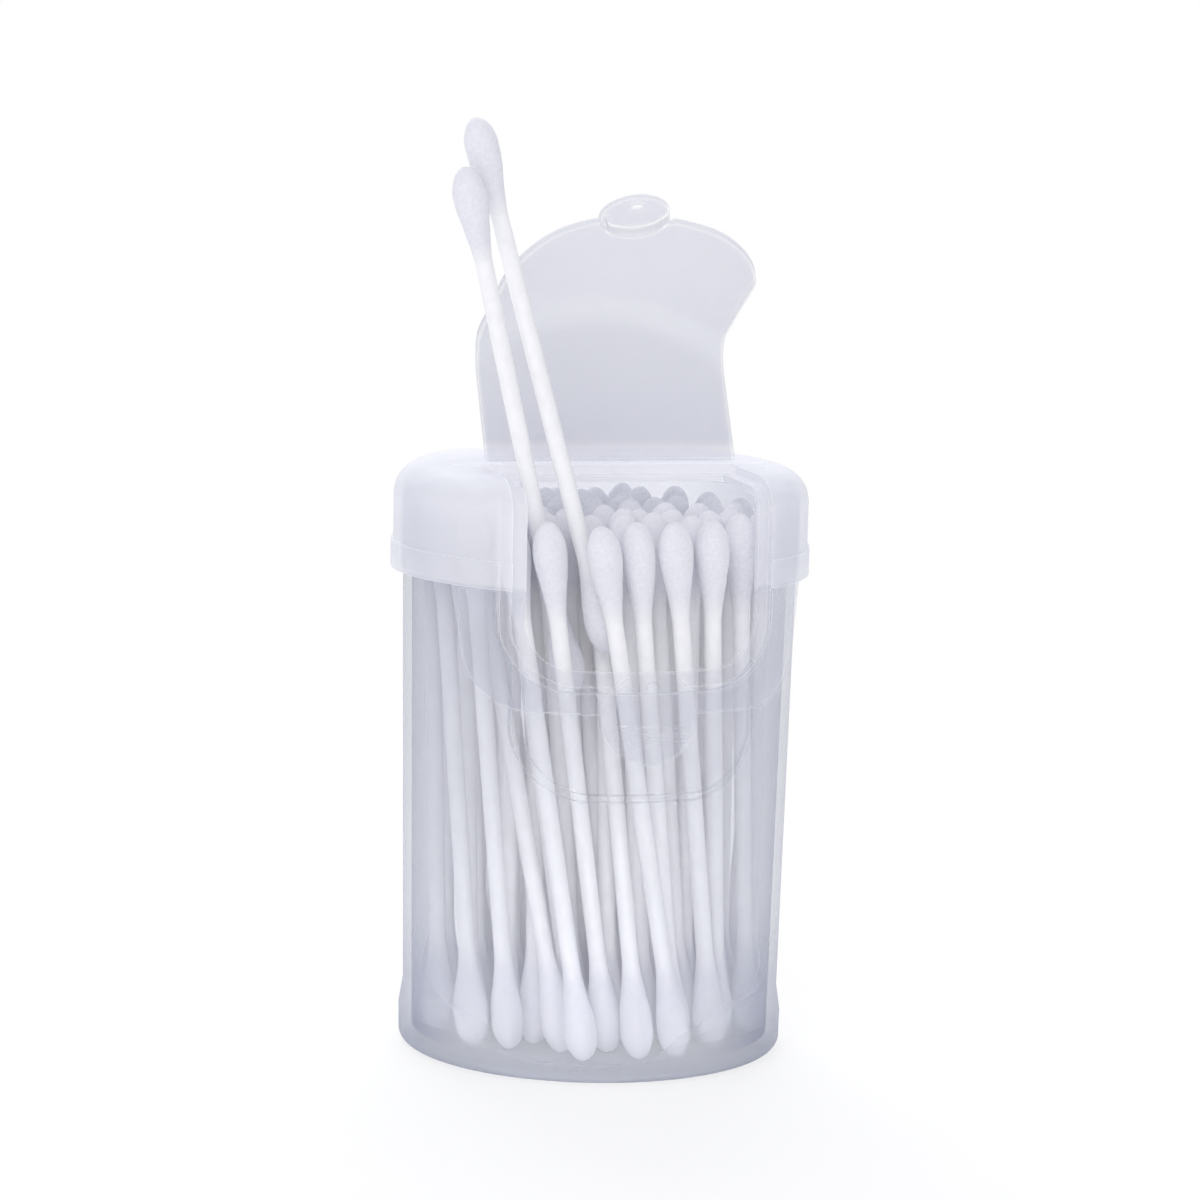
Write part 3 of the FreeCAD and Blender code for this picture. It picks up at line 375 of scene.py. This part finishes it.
def stick_ends(node):
    """The lower and the upper end of every stick in a node."""
    shape = bmesh.new()
    shape.from_mesh(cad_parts[node].data)
    bmesh.ops.remove_doubles(shape, verts=shape.verts, dist=0.001 * MM)
    ends = []
    waiting = set(shape.verts)
    while waiting:
        found, edge_of = [], [waiting.pop()]
        while edge_of:
            vertex = edge_of.pop()
            found.append(vertex.co.copy())
            for edge in vertex.link_edges:
                other = edge.other_vert(vertex)
                if other in waiting:
                    waiting.remove(other)
                    edge_of.append(other)
        middle = sum(found, Vector()) / len(found)
        upper = [point for point in found if point.z > middle.z]
        along = (sum(upper, Vector()) / len(upper) - middle).normalized()
        reach = max((point - middle).dot(along) for point in found)
        caps = []
        for way in (-1, 1):
            cap = [point for point in found if way * (point - middle).dot(along) > reach - CAP_DEPTH]
            caps.append(sum(cap, Vector()) / len(cap))
        ends.append(caps)
    shape.free()
    ends.sort(key=lambda pair: (pair[0].y, pair[0].x))
    return ends


def dress_buds(node, sticks, patterns, chance):
    """One piece with a bud at both ends of every stick of a node."""
    shape = bmesh.new()
    for low, high in stick_ends(sticks):
        for end, other in ((low, high), (high, low)):
            inward = (other - end).normalized()
            tip = end - inward * STICK_RECESS
            pattern = chance.choice(patterns)
            copy = pattern.data.copy()
            plump = chance.uniform(0.95, 1.02)
            size = Matrix.Diagonal((plump, plump, chance.uniform(0.94, 1.04), 1.0))
            spin = Matrix.Rotation(chance.uniform(0, 2 * math.pi), 4, "Z")
            aim = Vector((0, 0, 1)).rotation_difference(inward).to_matrix().to_4x4()
            copy.transform(Matrix.Translation(tip) @ aim @ spin @ size)
            shape.from_mesh(copy)
            bpy.data.meshes.remove(copy)
    mesh = bpy.data.meshes.new(f"cotton_{node}")
    shape.to_mesh(mesh)
    shape.free()
    mesh.materials.append(COTTON)
    piece = bpy.data.objects.new(f"cotton_{node}", mesh)
    scene.collection.objects.link(piece)
    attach(piece, "box")
    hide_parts(node)


# ---------------------------------------------------------------------------------------------
# Put together
# ---------------------------------------------------------------------------------------------
COTTON = wound_cotton()
PAPER = rolled_paper()
# each plastic's edge colour below is a painted highlight along its edges
CONTAINER = frosted_plastic(
    "frosted_container",
    looks=(
        (1.9, 0.32, (0.56, 0.59, 0.67)),
        (3.4, 0.22, (0.96, 0.96, 0.98)),
        (20.0, 0.08, (0.58, 0.60, 0.70)),
    ),
    slant_veil=0.40, deep=(0.29, 0.315, 0.41),
    edge_reach=0.3 * MM, rim_highlight=(0.95, 0.96, 0.98), edge_veil=0.05,
    through=(0.84, 0.86, 0.92), glow=0.35,
)
LID = frosted_plastic(
    "frosted_lid",
    looks=(
        (57.0, 0.12, (0.46, 0.48, 0.58)),
        (65.0, 0.20, (0.72, 0.74, 0.82)),
        (66.4, 0.50, (0.98, 0.98, 0.99)),
    ),
    slant_veil=0.15, deep=(0.86, 0.87, 0.92),
    edge_reach=0.3 * MM, rim_highlight=(0.99, 0.99, 0.99), edge_veil=0.3,
    through=(0.98, 0.98, 0.99), glow=0.4,
)
FLAP = frosted_plastic(
    "frosted_flap",
    looks=(
        (82.0, 0.42, (0.76, 0.76, 0.81)),
        (83.5, 0.58, (0.66, 0.67, 0.74)),
        (104.0, 0.50, (0.73, 0.735, 0.77)),
    ),
    slant_veil=0.05, deep=(0.72, 0.725, 0.78),
    edge_reach=1.3 * MM, rim_highlight=(0.99, 0.99, 0.99), edge_veil=-0.5,
    through=(0.70, 0.705, 0.75), glow=0.5,
)


def finish_node(node, material):
    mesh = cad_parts[node].data
    mesh.materials.clear()
    mesh.materials.append(material)


for node, material in (("container", CONTAINER), ("lid", LID), ("flap", FLAP)):
    finish_node(node, material)
chance = random.Random(7)
patterns = [make_bud(f"bud_{number}", number) for number in range(PATTERNS)]
for node in sorted(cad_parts):
    if node.endswith("_stick") or node.endswith("_sticks"):
        finish_node(node, PAPER)
        dress_buds(f"{node.rsplit('_', 1)[0]}_buds", node, patterns, chance)
for pattern in patterns:
    bpy.data.objects.remove(pattern)


# ---------------------------------------------------------------------------------------------
# Floor, light and camera
# ---------------------------------------------------------------------------------------------
def make_floor():
    """A pale floor: white to the camera, and a little darker near the piece, where its shadow lies."""
    deselect()
    bpy.ops.mesh.primitive_plane_add(size=6.0, location=(0, 0, -0.0002))
    floor = bpy.context.object
    floor.name = "floor"
    finish = Finish("pale_floor")
    diffuse = finish.add("BsdfDiffuse", sockets={"Color": (0.93, 0.93, 0.94)})
    white = finish.add("Emission", sockets={"Color": (1.0, 1.0, 1.0), "Strength": 1.0})
    seen = finish.add("LightPath", output="Is Camera Ray")
    distance = finish.add("VectorMath", {"operation": "LENGTH"}, {0: finish.place()}, output="Value")
    far = distance.between(0.08, 0.3)
    whiteness = seen * (far * 0.3 + 0.7)
    floor.data.materials.append(finish.surface(finish.layered(whiteness, diffuse, white)))


def make_lamp(name, place, size, power, aim=0.06, spread=180.0):
    """A square lamp in metres and watts, turned to the height aim on the axis, with its spread."""
    deselect()
    bpy.ops.object.light_add(type="AREA", location=place)
    lamp = bpy.context.object
    lamp.name = name
    lamp.data.size = size
    lamp.data.energy = power
    lamp.data.spread = math.radians(spread)
    lamp.visible_camera = False
    lamp.rotation_euler = (Vector((0, 0, aim)) - Vector(place)).to_track_quat("-Z", "Y").to_euler()


def make_world():
    """Soft light from all round; the camera sees it white."""
    world = bpy.data.worlds.new("studio")
    scene.world = world
    world.use_nodes = True
    nodes, links = world.node_tree.nodes, world.node_tree.links
    nodes.clear()
    path = nodes.new("ShaderNodeLightPath")
    soft = nodes.new("ShaderNodeBackground")
    soft.inputs["Color"].default_value = (0.93, 0.94, 1.0, 1.0)
    soft.inputs["Strength"].default_value = 0.7
    white = nodes.new("ShaderNodeBackground")
    white.inputs["Color"].default_value = (1.0, 1.0, 1.0, 1.0)
    white.inputs["Strength"].default_value = 1.0
    mix = nodes.new("ShaderNodeMixShader")
    end = nodes.new("ShaderNodeOutputWorld")
    links.new(path.outputs["Is Camera Ray"], mix.inputs[0])
    links.new(soft.outputs[0], mix.inputs[1])
    links.new(white.outputs[0], mix.inputs[2])
    links.new(mix.outputs[0], end.inputs["Surface"])


def make_camera():
    """A long lens from the front, a little to the left and above, with a slight roll."""
    place = Vector((-0.1493, -0.5607, 0.1431))
    target = Vector((0.0001, -0.0003, 0.0612))
    roll = math.radians(1.4)
    camera = bpy.data.cameras.new("camera")
    camera.lens = 128.97
    camera.sensor_width = 36.0
    camera.clip_start = 0.05
    holder = bpy.data.objects.new("camera", camera)
    scene.collection.objects.link(holder)
    holder.location = place
    aim = (target - place).to_track_quat("-Z", "Y")
    holder.rotation_mode = "QUATERNION"
    holder.rotation_quaternion = aim @ Matrix.Rotation(roll, 4, "Z").to_quaternion()
    scene.camera = holder


make_floor()
make_world()
make_lamp("key", (-0.5, -0.7, 0.9), 0.6, 3.1)
make_lamp("fill", (-0.1, -0.95, 0.15), 0.7, 0.9)
make_lamp("back", (0.1, 0.75, 0.85), 0.7, 7.0)
make_lamp("low", (-0.05, -0.2, 0.012), 0.05, 0.0038, aim=0.002, spread=24.0)
make_camera()
scene.view_settings.view_transform = "Standard"
scene.cycles.transparent_max_bounces = 20
scene.cycles.max_bounces = 16
scene.cycles.diffuse_bounces = 10
